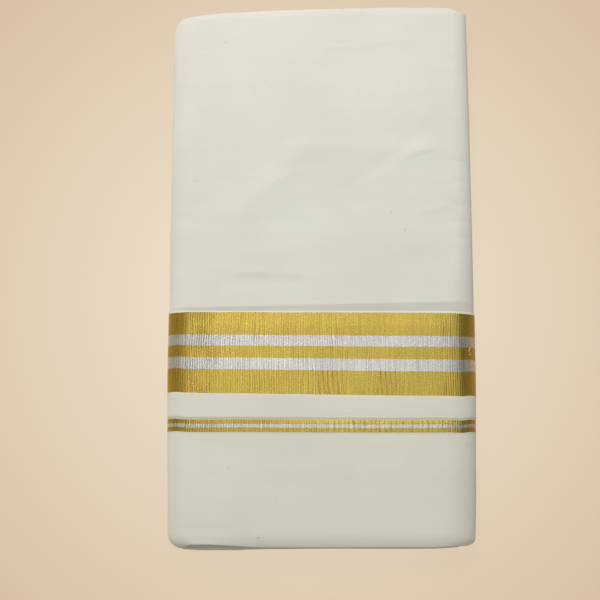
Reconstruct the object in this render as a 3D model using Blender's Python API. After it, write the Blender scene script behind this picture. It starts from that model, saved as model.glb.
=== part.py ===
# A cotton dhoti, pressed into the pack it is sold in.
# The cloth is folded across its width first, so that the border lies on the front as a flap,
# and then halved four times along its length. One rolled fold is left at the right, and at the
# left a big fold, a smaller one, the two cloth ends and a last small fold lie on each other.
# +X runs to the rolled fold, +Y to the plain end, +Z up, and the pack rests on z = 0.

import math
from collections import namedtuple

import bmesh
import bpy

# Driving sizes, in metres.
PACK_TOP = 0.2188
PACK_BOTTOM = -0.2173
CLOTH_WALL = 0.0012
GAP = 0.0003
FLAP_STEP = CLOTH_WALL + GAP
CORE_DEPTH = CLOTH_WALL + 2 * GAP
LAYERS = 16
END_RADIUS = 0.005
LAYER_GROOVE = 0.0011
LAYER_STAGGER = 0.0004
END_ZONE = 0.016

# The bordered flap begins at its woven edge and runs down to the bottom fold.
FLAP_EDGE = -0.0327
FLAP_RAMP = 0.009

# The side folds: how far each rounds in from the pack's edge.
LEFT_ROLL = 0.0145
RIGHT_ROLL = 0.0135
UNDER_ROLL = 0.0110
LEFT_POWER = 1.55
RIGHT_POWER = 2.0
UNDER_POWER = 2.5
NOSE_RISE = 0.0032
NOSE_RUN = 0.0050
SMALL_NOSE_RUN = 0.0030
LEAST_RUN = 0.0006
BACK_FOLD_SHARE = 0.12
SEAM_SHARE = 0.50

# What lies between the big left fold and the small one under it, each this far behind the
# pack's edge, with an edge as round as nose is long.
STRIP_DEPTH = 0.0160
LIP_DEPTH = 0.0140
Strip = namedtuple("Strip", "name place setback nose")
STRIPS = (
    Strip(name="cloth_end_lower", place=0, setback=0.0026, nose=0.0004),
    Strip(name="cloth_end_upper", place=1, setback=0.0041, nose=0.0004),
    Strip(name="second_fold", place=2, setback=0.0011, nose=0.0042),
)

# The plan and the thickness of the pack without its flaps, from the bottom to the top.
Row = namedtuple("Row", "y left right height")
PLAN = (
    Row(y=-0.2173, left=-0.1166, right=0.1174, height=0.0232),
    Row(y=-0.1810, left=-0.1179, right=0.1186, height=0.0243),
    Row(y=-0.1260, left=-0.1193, right=0.1194, height=0.0247),
    Row(y=-0.0330, left=-0.1200, right=0.1200, height=0.0243),
    Row(y=0.0600, left=-0.1193, right=0.1205, height=0.0232),
    Row(y=0.1450, left=-0.1179, right=0.1202, height=0.0219),
    Row(y=0.2188, left=-0.1163, right=0.1187, height=0.0198),
)

# Rounding of the four plan corners, along x and along y.
Corner = namedtuple("Corner", "run length")
CORNERS = {
    (-1, -1): Corner(run=0.011, length=0.010),
    (1, -1): Corner(run=0.013, length=0.010),
    (-1, 1): Corner(run=0.017, length=0.014),
    (1, 1): Corner(run=0.012, length=0.010),
}

# The top fold slants: its left end lies this much lower than its right end.
TOP_SLANT = 0.0055
SLANT_FROM = 0.1500
SLANT_RIGHT = 0.1000
SLANT_SPAN = 0.2000

# The bottom fold leans: the lower a layer lies, the further it stays back, least at the left.
BOTTOM_LEAN = 0.0052
LEAN_FROM = -0.1700
LEFT_PEEP = 0.0022
PEEP_FROM = -0.0750
PEEP_EASE = 0.0300

# The largest soft folds of the plain panel: a ridge where rise is positive, else a trough.
Fold = namedtuple("Fold", "x y to_x to_y width rise")
FOLDS = (
    Fold(x=-0.066, y=0.046, to_x=-0.014, to_y=0.099, width=0.017, rise=0.0009),
    Fold(x=-0.014, y=0.099, to_x=0.088, to_y=0.099, width=0.014, rise=0.0008),
    Fold(x=-0.050, y=0.030, to_x=0.060, to_y=0.070, width=0.022, rise=-0.0006),
    Fold(x=-0.074, y=-0.002, to_x=-0.017, to_y=-0.002, width=0.010, rise=-0.0006),
)

# Above the flap's edge the panel dips in a wedge, narrow at the left and wide at the right.
HALF_WIDTH = 0.118
TUCK_LEFT = 0.0013
TUCK_RIGHT = 0.0075
TUCK_SLOPE = 0.16
TUCK_RETURN = 0.012

# Where the sections stand along the pack.
BODY_Y = (-0.203, -0.182, -0.154, -0.126, -0.098, -0.070, -0.048, -0.0327, -0.030, -0.027,
          -0.0237, -0.010, 0.010, 0.030, 0.048, 0.066, 0.084, 0.102, 0.120, 0.140, 0.162,
          0.184, 0.198)
PLAIN_Y = (-0.200, -0.150, -0.100, -0.050, FLAP_EDGE, FLAP_EDGE + FLAP_RAMP, 0.020, 0.070,
           0.120, 0.170, 0.198)
END_ANGLES = tuple(math.radians(a) for a in (0, 24, 48, 70, 90))
CORNER_SHARES = (1.0, 0.62, 0.34, 0.14, 0.03, 0.0)
ACROSS = (0.0, 0.01, 0.03, 0.06, 0.11, 0.22, 0.36, 0.50, 0.64, 0.78, 0.89, 0.94, 0.97, 0.99, 1.0)

TOP_COLUMNS = 12
ROLL_STEPS = 7
NOSE_STEPS = 3

COTTON = (0.72, 0.71, 0.65, 1.0)
COTTON_SHADE = (0.62, 0.61, 0.55, 1.0)
BORDER = (0.58, 0.42, 0.10, 1.0)

Station = namedtuple("Station", "y angle end")


def material(name, colour, roughness, metallic):
    made = bpy.data.materials.new(name)
    made.use_nodes = True
    shader = made.node_tree.nodes["Principled BSDF"]
    shader.inputs["Base Color"].default_value = colour
    shader.inputs["Roughness"].default_value = roughness
    shader.inputs["Metallic"].default_value = metallic
    made.diffuse_color = colour
    return made


def plan_value(y, column):
    # A smooth curve through one column of the plan.
    rows = PLAN
    y = min(max(y, rows[0].y), rows[-1].y)
    i = max(k for k in range(len(rows) - 1) if rows[k].y <= y)
    before, start = rows[max(i - 1, 0)], rows[i]
    finish, after = rows[i + 1], rows[min(i + 2, len(rows) - 1)]
    span = finish.y - start.y
    t = (y - start.y) / span
    value = [getattr(row, column) for row in (before, start, finish, after)]
    slope_in = (value[2] - value[0]) / (finish.y - before.y) * span
    slope_out = (value[3] - value[1]) / (after.y - start.y) * span
    return (
        (2 * t**3 - 3 * t**2 + 1) * value[1]
        + (t**3 - 2 * t**2 + t) * slope_in
        + (3 * t**2 - 2 * t**3) * value[2]
        + (t**3 - t**2) * slope_out
    )


def base(y):
    # The underside rises by the back flap's thickness where that flap lies under it.
    share = (y - FLAP_EDGE) / FLAP_RAMP
    return FLAP_STEP * (1 - min(max(share, 0), 1))


def level(y, share):
    return base(y) + share * (plan_value(y, "height") + FLAP_STEP - base(y))


def corner_inset(side, y, depth):
    # How far the plan's rounded corner draws the edge in at this y.
    for end, limit in ((-1, PACK_BOTTOM + depth), (1, PACK_TOP - depth)):
        corner = CORNERS[side, end]
        length = corner.length - depth
        distance = abs(limit - y)
        if distance < length:
            share = (length - distance) / length
            return (corner.run - depth) * (1 - math.sqrt(max(0.0, 1 - share * share)))
    return 0.0


def edge(side, y, depth):
    column = "left" if side < 0 else "right"
    return plan_value(y, column) - side * (depth + corner_inset(side, y, depth))


def settled(x, y, z):
    # The pack's two ends as they lie, neither quite square.
    share = min(max((SLANT_RIGHT - x) / SLANT_SPAN, 0), 1)
    ease = min(max((y - SLANT_FROM) / (PACK_TOP - SLANT_FROM), 0), 1)
    slant = TOP_SLANT * share * share * ease * ease
    ease = min(max((LEAN_FROM - y) / (LEAN_FROM - PACK_BOTTOM), 0), 1)
    peep = min(max((PEEP_FROM - x) / PEEP_EASE, 0), 1)
    depth = 1 - min(z / (plan_value(y, "height") - END_RADIUS), 1)
    lean = (BOTTOM_LEAN - LEFT_PEEP * peep) * depth * ease * ease
    return (x, y - slant + lean, z)


def fold_rise(x, y):
    total = 0.0
    for fold in FOLDS:
        run_x, run_y = fold.to_x - fold.x, fold.to_y - fold.y
        along = ((x - fold.x) * run_x + (y - fold.y) * run_y) / (run_x**2 + run_y**2)
        along = min(max(along, 0), 1)
        away = math.hypot(x - fold.x - along * run_x, y - fold.y - along * run_y)
        total += fold.rise * math.exp(-((away / fold.width) ** 2) * 2)
    return total


def tuck(x, y):
    share = min(max((x + HALF_WIDTH) / (2 * HALF_WIDTH), 0), 1)
    width = TUCK_LEFT + share * (TUCK_RIGHT - TUCK_LEFT)
    run = (y - FLAP_EDGE) / width if y > FLAP_EDGE else (FLAP_EDGE - y) / TUCK_RETURN
    return -TUCK_SLOPE * width * max(0.0, 1 - run)


def top_height(x, y):
    return plan_value(y, "height") + FLAP_STEP + fold_rise(x, y) + tuck(x, y)


def quarter(steps, power):
    # (run, rise) from a fold's outermost line, at 0, to where it meets the flat, at 1.
    shares = []
    for i in range(steps + 1):
        angle = math.pi / 2 * i / steps
        run = 1 - max(math.cos(angle), 0.0) ** (2 / power)
        shares.append((run, math.sin(angle) ** (2 / power)))
    return shares


def station_place(station, depth):
    # The y of a section, and how far its top has sunk where the cloth turns over an end.
    radius = END_RADIUS - depth
    y = station.y + station.end * radius * math.sin(station.angle)
    return y, END_RADIUS - radius * math.cos(station.angle)


def front_section(station, depth):
    # From the left seam round the big left fold, over the top and half way down the right.
    y, sink = station_place(station, depth)
    left, right = edge(-1, y, depth), edge(1, y, depth)
    lip = level(y, SEAM_SHARE) + FLAP_STEP + GAP + depth
    nose = level(y, SEAM_SHARE) + FLAP_STEP + GAP + NOSE_RISE
    middle = level(y, SEAM_SHARE) + GAP / 2
    left_roll = LEFT_ROLL - depth
    right_roll = RIGHT_ROLL - depth
    points = []
    for run, rise in reversed(quarter(NOSE_STEPS, 2)[1:]):
        points.append((left + run * (NOSE_RUN - depth), nose - rise * (nose - lip)))
    for run, rise in quarter(ROLL_STEPS, LEFT_POWER):
        x = left + run * left_roll
        points.append((x, nose + rise * (top_height(x, y) - sink - nose)))
    first, last = left + left_roll, right - right_roll
    for i in range(1, TOP_COLUMNS):
        x = first + (last - first) * i / TOP_COLUMNS
        points.append((x, top_height(x, y) - sink))
    for run, rise in reversed(quarter(ROLL_STEPS, RIGHT_POWER)):
        x = right - run * right_roll
        points.append((x, middle + rise * (top_height(x, y) - sink - middle)))
    return [settled(x, y, z) for x, z in points]


def back_section(station, depth):
    # From half way down the right round to the underside, and round the small left fold.
    y = min(max(station.y, PACK_BOTTOM + depth), PACK_TOP - depth)
    left, right = edge(-1, y, depth), edge(1, y, depth)
    middle = level(y, SEAM_SHARE) - GAP / 2
    floor = base(y) + depth
    lip = level(y, BACK_FOLD_SHARE) - depth
    roll = UNDER_ROLL - depth
    points = []
    for run, rise in quarter(ROLL_STEPS, UNDER_POWER):
        points.append((right - run * roll, middle - rise * (middle - floor)))
    nose_run = max(SMALL_NOSE_RUN - depth, LEAST_RUN)
    half = (lip - floor) / 2
    for run, rise in reversed(quarter(NOSE_STEPS, 2)):
        points.append((left + run * nose_run, floor + half - rise * half))
    for run, rise in quarter(NOSE_STEPS, 2)[1:]:
        points.append((left + run * nose_run, floor + half + rise * half))
    points.append((edge(-1, y, 0) + LIP_DEPTH, lip))
    return [settled(x, y, z) for x, z in points]


def new_object(name, bm, collection, colour, roughness=0.85, metallic=0.0):
    mesh = bpy.data.meshes.new(name)
    bmesh.ops.remove_doubles(bm, verts=bm.verts, dist=1e-6)
    bmesh.ops.recalc_face_normals(bm, faces=bm.faces)
    bm.to_mesh(mesh)
    bm.free()
    mesh.shade_smooth()
    mesh.set_sharp_from_angle(angle=math.radians(40))
    made = bpy.data.objects.new(name, mesh)
    mesh.materials.append(material(name + "_finish", colour, roughness, metallic))
    collection.objects.link(made)
    return made


def add_patch(bm, rows, closed=False):
    # Quads between neighbouring rows of points.
    grid = [[bm.verts.new(point) for point in row] for row in rows]
    for low, high in zip(grid, grid[1:]):
        count = len(low) if closed else len(low) - 1
        for i in range(count):
            k = (i + 1) % len(low)
            bm.faces.new((low[i], low[k], high[k], high[i]))
    return grid


def wall(name, collection, stations, section, near, far, colour, **finish):
    # A wall of cloth between two depths of the same form, closed round its four sides.
    rings = []
    for station in stations:
        outer = section(station, near)
        inner = section(station, far)
        rings.append(outer + inner[::-1])
    bm = bmesh.new()
    grid = add_patch(bm, rings, closed=True)
    across = len(rings[0]) // 2
    for ring in (grid[0], grid[-1]):
        for i in range(across - 1):
            bm.faces.new((ring[i], ring[i + 1], ring[-i - 2], ring[-i - 1]))
    return new_object(name, bm, collection, colour, **finish)


def end_stations(end):
    # Sections from where a plan corner starts to round, then over the end's own rounding.
    limit = PACK_TOP if end > 0 else PACK_BOTTOM
    start = limit - end * END_RADIUS
    length = max(CORNERS[side, end].length for side in (-1, 1))
    lead = [Station(limit - end * (END_RADIUS + share * (length - END_RADIUS)), 0.0, end)
            for share in (1.0, 0.5)]
    return lead + [Station(start, angle, end) for angle in END_ANGLES]


def flat_end_stations(end):
    limit = PACK_TOP if end > 0 else PACK_BOTTOM
    length = max(CORNERS[side, end].length for side in (-1, 1))
    return [Station(limit - end * share * length, 0.0, end) for share in CORNER_SHARES]


def front_stations(from_y=None):
    body = [Station(y, 0.0, 0) for y in BODY_Y if from_y is None or y <= from_y]
    top = end_stations(1) if from_y is None else []
    return end_stations(-1)[::-1] + body + top


def back_stations(from_y=None):
    body = [Station(y, 0.0, 0) for y in PLAIN_Y if from_y is None or y <= from_y]
    top = flat_end_stations(1) if from_y is None else []
    return flat_end_stations(-1)[::-1] + body + top


def core_left(y, z):
    # The left side of the hidden layers: behind the edge strips, then inside the big fold.
    left = edge(-1, y, CORE_DEPTH)
    lip = level(y, SEAM_SHARE) + FLAP_STEP + GAP + CORE_DEPTH
    nose = level(y, SEAM_SHARE) + FLAP_STEP + GAP + NOSE_RISE
    top = top_height(left + LEFT_ROLL, y) - CORE_DEPTH
    if z < lip - 1e-6:
        return edge(-1, y, 0) + STRIP_DEPTH + GAP
    if z < nose:
        share = (nose - z) / (nose - lip)
        return left + (NOSE_RUN - CORE_DEPTH) * (1 - math.sqrt(max(0.0, 1 - share * share)))
    share = min((z - nose) / (top - nose), 1.0)
    run = 1 - (1 - share**LEFT_POWER) ** (1 / LEFT_POWER)
    return left + run * (LEFT_ROLL - CORE_DEPTH)


def core_right(y, z):
    right = edge(1, y, CORE_DEPTH)
    middle = level(y, SEAM_SHARE)
    top = top_height(right - RIGHT_ROLL, y) - CORE_DEPTH
    floor = base(y) + CORE_DEPTH
    if z > middle:
        share, power, roll = (z - middle) / (top - middle), RIGHT_POWER, RIGHT_ROLL
    else:
        share, power, roll = (middle - z) / (middle - floor), UNDER_POWER, UNDER_ROLL
    run = 1 - (1 - min(share, 1.0) ** power) ** (1 / power)
    return right - run * (roll - CORE_DEPTH)


def core_z(x, y, row):
    # Rows rise in half layers, eight layers on each side of the seam.
    half = LAYERS
    low = base(y) + CORE_DEPTH
    ledge = level(y, SEAM_SHARE) + FLAP_STEP + GAP
    high = top_height(x, y) - CORE_DEPTH
    if row <= half:
        return low + (ledge + GAP - low) * row / half
    return ledge + CORE_DEPTH + (high - ledge - CORE_DEPTH) * (row - half - 1) / half


def core_end(side_share, row, end):
    # The y at which a row of the hidden layers ends: crests and grooves, rounded corners.
    limit = (PACK_TOP - CORE_DEPTH) if end > 0 else -(PACK_BOTTOM + CORE_DEPTH)
    inside = end * (limit - END_ZONE)
    z = core_z(0.0, inside, row)
    x_left, x_right = core_left(inside, z), core_right(inside, z)
    x = x_left + side_share * (x_right - x_left)
    drop = 0.0
    for side in (-1, 1):
        corner = CORNERS[side, end]
        run, length = corner.run - CORE_DEPTH, corner.length - CORE_DEPTH
        away = side * (edge(side, inside, CORE_DEPTH) - x)
        if away < run:
            share = (run - away) / run
            drop += length * (1 - math.sqrt(max(0.0, 1 - share * share)))
    top = top_height(0.0, inside) - CORE_DEPTH
    radius = END_RADIUS - CORE_DEPTH
    into = min(max((z - top + radius) / radius, 0), 1)
    curl = radius * (1 - math.sqrt(1 - into * into))
    groove = LAYER_GROOVE if row % 2 == (0 if row <= LAYERS else 1) else 0.0
    stagger = LAYER_STAGGER * (1 + math.sin(row * 2.1 + end))
    return end * (limit - drop - curl - groove - stagger)


def make_inner_layers(collection):
    rows = range(2 * LAYERS + 2)
    body = [y for y in PLAIN_Y if -0.201 < y < 0.199]

    def point(share, j, row):
        if j == 0:
            y = core_end(share, row, -1)
        elif j == len(body) + 1:
            y = core_end(share, row, 1)
        else:
            y = body[j - 1]
        z = core_z(0.0, y, row)
        x_left, x_right = core_left(y, z), core_right(y, z)
        x = x_left + share * (x_right - x_left)
        return settled(x, y, core_z(x, y, row))

    stops = range(len(body) + 2)
    bm = bmesh.new()
    for row in (rows[0], rows[-1]):
        add_patch(bm, [[point(share, j, row) for share in ACROSS] for j in stops])
    for share in (0.0, 1.0):
        add_patch(bm, [[point(share, j, row) for row in rows] for j in stops])
    for j in (stops[0], stops[-1]):
        add_patch(bm, [[point(share, j, row) for share in ACROSS] for row in rows])
    return new_object("inner_layers", bm, collection, COTTON_SHADE)


def strip_floor(y, place):
    # The two cloth ends lie on the small back fold, and the second fold on them.
    first = level(y, BACK_FOLD_SHARE) + FLAP_STEP + GAP
    return first + place * (CLOTH_WALL + GAP)


def make_edge_strip(strip, collection):
    # A fold or a cloth end of the hidden layers, showing along the left edge.
    rings = []
    for station in back_stations():
        y = min(max(station.y, PACK_BOTTOM + GAP), PACK_TOP - GAP)
        low = strip_floor(y, strip.place)
        high = level(y, SEAM_SHARE) if strip is STRIPS[-1] else low + CLOTH_WALL
        outer = edge(-1, y, 0) + strip.setback
        inner = edge(-1, y, 0) + STRIP_DEPTH
        half = (high - low) / 2
        ring = [(outer + run * strip.nose, low + half - rise * half)
                for run, rise in reversed(quarter(NOSE_STEPS, 2))]
        ring += [(outer + run * strip.nose, low + half + rise * half)
                 for run, rise in quarter(NOSE_STEPS, 2)[1:]]
        ring += [(inner, high), (inner, low)]
        rings.append([settled(x, y, z) for x, z in ring])
    bm = bmesh.new()
    grid = add_patch(bm, rings, closed=True)
    for ring in (grid[0], grid[-1]):
        bm.faces.new(ring)
    return new_object(strip.name, bm, collection, COTTON_SHADE)


def main():
    for old in list(bpy.data.objects):
        bpy.data.objects.remove(old, do_unlink=True)
    dhoti = bpy.data.collections.new("folded_dhoti")
    bpy.context.scene.collection.children.link(dhoti)

    make_inner_layers(dhoti)
    wall("front_panel", dhoti, front_stations(), front_section, 0.0, CLOTH_WALL, COTTON)
    wall("front_flap", dhoti, front_stations(FLAP_EDGE), front_section, -FLAP_STEP, -GAP,
         BORDER, roughness=0.5, metallic=0.4)
    wall("back_panel", dhoti, back_stations(), back_section, 0.0, CLOTH_WALL, COTTON)
    wall("back_flap", dhoti, back_stations(FLAP_EDGE), back_section, -FLAP_STEP, -GAP,
         BORDER, roughness=0.5, metallic=0.4)
    for strip in STRIPS:
        make_edge_strip(strip, dhoti)


main()
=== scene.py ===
import math
from functools import lru_cache
from itertools import accumulate

import bmesh
import bpy
from mathutils import Matrix, Vector, noise


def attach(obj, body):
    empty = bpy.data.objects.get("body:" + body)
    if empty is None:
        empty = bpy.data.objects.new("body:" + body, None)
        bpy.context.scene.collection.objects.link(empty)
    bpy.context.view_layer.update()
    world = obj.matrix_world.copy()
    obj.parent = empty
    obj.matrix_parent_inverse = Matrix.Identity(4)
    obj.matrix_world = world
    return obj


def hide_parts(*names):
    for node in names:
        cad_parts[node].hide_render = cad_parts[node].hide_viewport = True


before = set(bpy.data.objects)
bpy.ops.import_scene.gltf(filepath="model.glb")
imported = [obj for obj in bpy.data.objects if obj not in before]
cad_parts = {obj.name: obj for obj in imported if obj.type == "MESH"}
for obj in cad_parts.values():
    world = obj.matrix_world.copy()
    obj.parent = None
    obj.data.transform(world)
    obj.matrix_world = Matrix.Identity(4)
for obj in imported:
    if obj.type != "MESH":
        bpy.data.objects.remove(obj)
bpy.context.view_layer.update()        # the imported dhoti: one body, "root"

scene = bpy.context.scene
scene.view_settings.view_transform = "Standard"

# The pack's own form, in metres, within 3 mm of the solid model's. The cloth is folded across its
# width first, so the border lies on the front as a flap, then halved four times along its length.
pack = {
    "top": 0.2182,
    "bottom": -0.2172,
    "gap": 0.0003,
    "sheetGap": 0.0015,       # from one skin of the cloth to the next
    "layers": 16,
    "endRadius": 0.0050,
    "endRun": {1: 0.0075, -1: 0.0130},       # the front's curl towards its top and bottom folds
    "endDrop": {1: 0.0016, -1: 0.0031},
    "endPower": 2.4,
    "selvedge": -0.0327,      # where the flap's woven edge lies
    "flapRamp": 0.0090,
    "seamShare": 0.50,
    "smallFoldShare": 0.12,
    "lipDepth": 0.0140,
    "leastRun": 0.0006,
    "liftEase": 12,           # the underside's creases ease out over a twelfth of its width
    "measureAt": -0.10,       # where the length round the pack is measured
}
rolls = {
    "left": {"run": 0.0145, "power": 1.32, "cornerShare": 0.75},
    # Run, power and seam's height, above the flap and where it lies.
    "right": {"plain": (0.0125, 1.80, 0.67), "flap": (0.0218, 1.85, 0.38), "cornerShare": 0.60,
              "widenFrom": 0.045, "widenSpan": 0.090},
    "under": {"run": 0.0110, "power": 2.5},
    "nose": {"run": 0.0050, "rise": 0.0032},
    "smallNose": {"run": 0.0030},
    "leastCorner": 0.0045,
}


def inMetres(rows):
    return tuple(tuple(value / 1000 for value in row) for row in rows)


# y, left edge, right edge, thickness, in millimetres.
planRows = inMetres((
    (-217.2, -118.1, 118.6, 23.2),
    (-181, -118.4, 119.6, 24.3),
    (-126, -119.3, 120.3, 24.7),
    (-33, -120.2, 121.2, 24.3),
    (60, -119.7, 120.2, 23.2),
    (145, -118.8, 119.3, 21.9),
    (218.2, -118.3, 117.7, 19.8),
))
leftEdge, rightEdge, thickness = 1, 2, 3      # columns of planRows
# Rounding of the four plan corners: run along x, length along y, and how round it is.
corners = {
    (-1, -1): (0.0105, 0.0095, 2.0),
    (1, -1): (0.0045, 0.0045, 2.0),
    (-1, 1): (0.0106, 0.0180, 2.0),
    (1, 1): (0.0130, 0.0048, 0.9),
}
# How the two ends lie, neither quite square.
ends = {
    "slant": 0.0063, "slantFrom": 0.150, "slantRight": 0.100, "slantSpan": 0.200,
    "slantMore": 0.0019, "moreFrom": -0.078, "moreSpan": 0.036,
    "rightDrop": 0.0005, "dropFrom": 0.045, "dropSpan": 0.050,
    "lean": 0.0036, "leanPower": 5, "leanFrom": -0.170,
    "leftPeep": 0.0009, "peepFrom": -0.044, "peepEase": 0.018,
    "lipShort": 0.0045, "lipReach": 0.030,
    "peepCorner": 0.48, "cornerFrom": -0.094, "cornerSpan": 0.024,
    "rightSlope": 0.0024, "rightFrom": 0.080, "rightSpan": 0.037,
}
# Large soft folds, in millimetres: x, y, to x, to y, width, rise.
softFolds = inMetres((
    (-66, 46, -14, 99, 17, 0.9),
    (-14, 99, 88, 99, 14, 0.8),
    (-50, 30, 60, 70, 22, -0.6),
    (-74, -9, -17, -9, 9, -0.6),
))
# Finer creases, in millimetres: x, y, to x, to y, bow, width above the line and below it, rise.
frontCreases = inMetres((
    (1, 183.6, 29, 182.6, 0, 3, 1.3, 0.4),
    (25, 182.4, 50, 188.2, -1, 3.5, 1.8, 0.28),
    (22, 189, 82, 188, 2, 11, 6, 0.42),
    (-6, 167.5, 31, 165, 0, 8.5, 8.5, -0.45),
    (12, 62, 100, 131, -3, 6, 5, -0.38),
    (64, 90, 93, 99, 0.8, 6, 1.4, 0.52),
    (76, 46.5, 108.5, 52.8, 0, 3.4, 2.6, 0.32),
    (-70, -3.6, -40, -3.2, 0.3, 3.4, 1.3, 0.36),
    (-34, -4.2, -14, -4, 0.3, 3, 1.3, 0.3),
    (-70, 8.4, -56, 14.2, 0, 2.6, 1.4, 0.18),
    (-108, 110, -95, 103, 0, 2.2, 2.2, 0.22),
    (-92, 72.2, -48, 71.6, 0.4, 3, 2.4, -0.16),
    (-48, 65, -9, 84, 1, 2.4, 1.6, 0.18),
    (28, 108, 78, 140, -6, 4, 4, 0.16),
    (-90, 152, -30, 164, 3, 8, 6, 0.16),
    (40, 10, 106, 24, 2, 8, 6, 0.18),
    (102, 89, 123, 87.2, 0, 2.6, 2.2, -0.5),
    (103, 72.6, 123, 70.8, 0, 2.4, 2.2, -0.46),
    (101, 53, 123, 50.8, 0, 2.6, 2.2, -0.5),
    (104, 39.6, 123, 38.4, 0, 2, 2, -0.36),
    (104, 26, 123, 25, 0, 2.2, 2, -0.36),
    (-120, 42, -102, 40, 0, 3, 3, -0.22),
    (-120, 132, -101, 135, 0, 3.4, 3, -0.24),
    (-40, -118.4, 142, -119.6, 0.2, 5.8, 2.4, -0.5),
    (104, -126.2, 126, -134.5, 0, 2.2, 1.6, -0.95),
    (-54, -208.5, -45, -214, 0, 1.2, 1.2, 0.16),
    (6, -133, 56, -136, 1, 6, 5, 0.22),
    (-105, -138, -50, -146, 2, 9, 8, -0.22),
    (-42, -145, 15, -150, -2, 8, 7, -0.18),
    (70, -156, 110, -170, 2, 8, 6, 0.2),
    (-90, -185, -30, -179, 0, 7, 7, 0.14),
))
# The underside rests on what it lies on, so its creases only lift away from it.
underCreases = inMetres((
    (-90, 90, -20, 130, 6, 10, 8, 0.6),
    (10, 50, 85, 80, -4, 9, 8, 0.6),
    (-60, 15, 10, 5, 3, 7, 3, 0.4),
    (30, 165, 70, 172, 0, 4, 2, 0.36),
    (-100, 178, -65, 164, 1, 4, 3, 0.32),
    (-80, -150, 10, -162, 3, 8, 7, 0.4),
    (40, -185, 100, -172, 2, 7, 6, 0.36),
))
# Above the woven edge the plain cloth dips in a wedge, wider to the right.
wedge = {
    "halfWidth": 0.118, "left": 0.0023, "right": 0.0075, "bow": -0.00035,
    "slope": 0.285, "back": 0.012, "lip": 0.00012, "lipWidth": 0.0016,
}
# Unevenness that follows no crease: how much there is, and how fine it is.
wander = {"wide": 0.00030, "wideScale": 15.0, "fine": 0.00010, "fineScale": 52.0,
          "side": 0.00030, "sideScale": 17.0, "lip": 0.00026, "lipScale": 13.0, "underScale": 18.0}


def clampTo(value, low=0.0, high=1.0):
    return min(max(value, low), high)


def smoothShare(value):
    value = clampTo(value)
    return value * value * (3 - 2 * value)


@lru_cache(maxsize=None)
def planValue(y, column):
    # A smooth curve through one column of the plan.
    y = clampTo(y, planRows[0][0], planRows[-1][0])
    i = max(k for k in range(len(planRows) - 1) if planRows[k][0] <= y)
    before, start = planRows[max(i - 1, 0)], planRows[i]
    finish, after = planRows[i + 1], planRows[min(i + 2, len(planRows) - 1)]
    span = finish[0] - start[0]
    t = (y - start[0]) / span
    slopeIn = (finish[column] - before[column]) / (finish[0] - before[0]) * span
    slopeOut = (after[column] - start[column]) / (after[0] - start[0]) * span
    return (
        (2 * t**3 - 3 * t**2 + 1) * start[column]
        + (t**3 - 2 * t**2 + t) * slopeIn
        + (3 * t**2 - 2 * t**3) * finish[column]
        + (t**3 - t**2) * slopeOut
    )


@lru_cache(maxsize=None)
def floorOf(y):
    # The underside rises by one skin where the back flap lies under it.
    return pack["sheetGap"] * (1 - clampTo((y - pack["selvedge"]) / pack["flapRamp"]))


@lru_cache(maxsize=None)
def rightFold(y):
    # (run, power, seam) of the right fold, which is wider and softer where the flap lies over it.
    right = rolls["right"]
    share = smoothShare((right["widenFrom"] - y) / right["widenSpan"])
    return tuple(a + (b - a) * share for a, b in zip(right["plain"], right["flap"]))


@lru_cache(maxsize=None)
def levelAt(y, share):
    return floorOf(y) + share * (planValue(y, thickness) + pack["sheetGap"] - floorOf(y))


def midSeam(y):
    # Where the upper half of the layers meets the lower half.
    return levelAt(y, pack["seamShare"])


@lru_cache(maxsize=None)
def rightSeam(y):
    return levelAt(y, rightFold(y)[2])


@lru_cache(maxsize=None)
def sideAt(side, y):
    return planValue(y, leftEdge if side < 0 else rightEdge)


def endAt(end):
    # How far the pack reaches towards its top, 1, or its bottom, -1.
    return pack["top"] if end > 0 else -pack["bottom"]


def cornerInset(side, y, depth):
    # How far a rounded corner of the plan draws the side in.
    for end in (-1, 1):
        run, length, power = corners[side, end]
        distance = max(endAt(end) - depth - end * y, 0.0)
        if distance < length - depth:
            share = (length - depth - distance) / (length - depth)
            return (run - depth) * (1 - math.sqrt(max(0.0, 1 - share**power)))
    return 0.0


def rollReach(side, y, depth):
    # How wide a side fold is; at the rounded corners it is drawn in.
    run = rolls["left"]["run"] if side < 0 else rightFold(y)[0]
    share = rolls["left" if side < 0 else "right"]["cornerShare"]
    return max(run - depth - share * cornerInset(side, y, depth), rolls["leastCorner"])


def edgeAt(side, y, depth):
    # The outermost line of the cloth at this depth, seen from above.
    swell = wander["side"] * noise.noise((side * 3.1, y * wander["sideScale"], 4.0))
    return sideAt(side, y) - side * (depth + cornerInset(side, y, depth) + swell)


def settled(x, y, z):
    # Where a point of the square pack lies once its ends have slanted and leaned.
    share = clampTo((ends["slantRight"] - x) / ends["slantSpan"])
    ease = clampTo((y - ends["slantFrom"]) / (pack["top"] - ends["slantFrom"]))
    slant = ends["slant"] * share * share
    slant += ends["slantMore"] * smoothShare((ends["moreFrom"] - x) / ends["moreSpan"])
    slant += ends["rightDrop"] * clampTo((x - ends["dropFrom"]) / ends["dropSpan"])
    slant *= ease * ease
    ease = clampTo((ends["leanFrom"] - y) / (ends["leanFrom"] - pack["bottom"]))
    peep = smoothShare((ends["peepFrom"] - x) / ends["peepEase"])
    peep *= 1 - ends["peepCorner"] * smoothShare((ends["cornerFrom"] - x) / ends["cornerSpan"])
    low = 1 - min(z / (planValue(y, thickness) - pack["endRadius"]), 1)
    lean = ends["lean"] * (1 - peep) * low ** ends["leanPower"] - ends["leftPeep"] * peep * low
    slope = ends["rightSlope"] * clampTo((x - ends["rightFrom"]) / ends["rightSpan"]) ** 2
    return Vector((x, y - slant + (lean + slope) * ease * ease, z))


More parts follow.
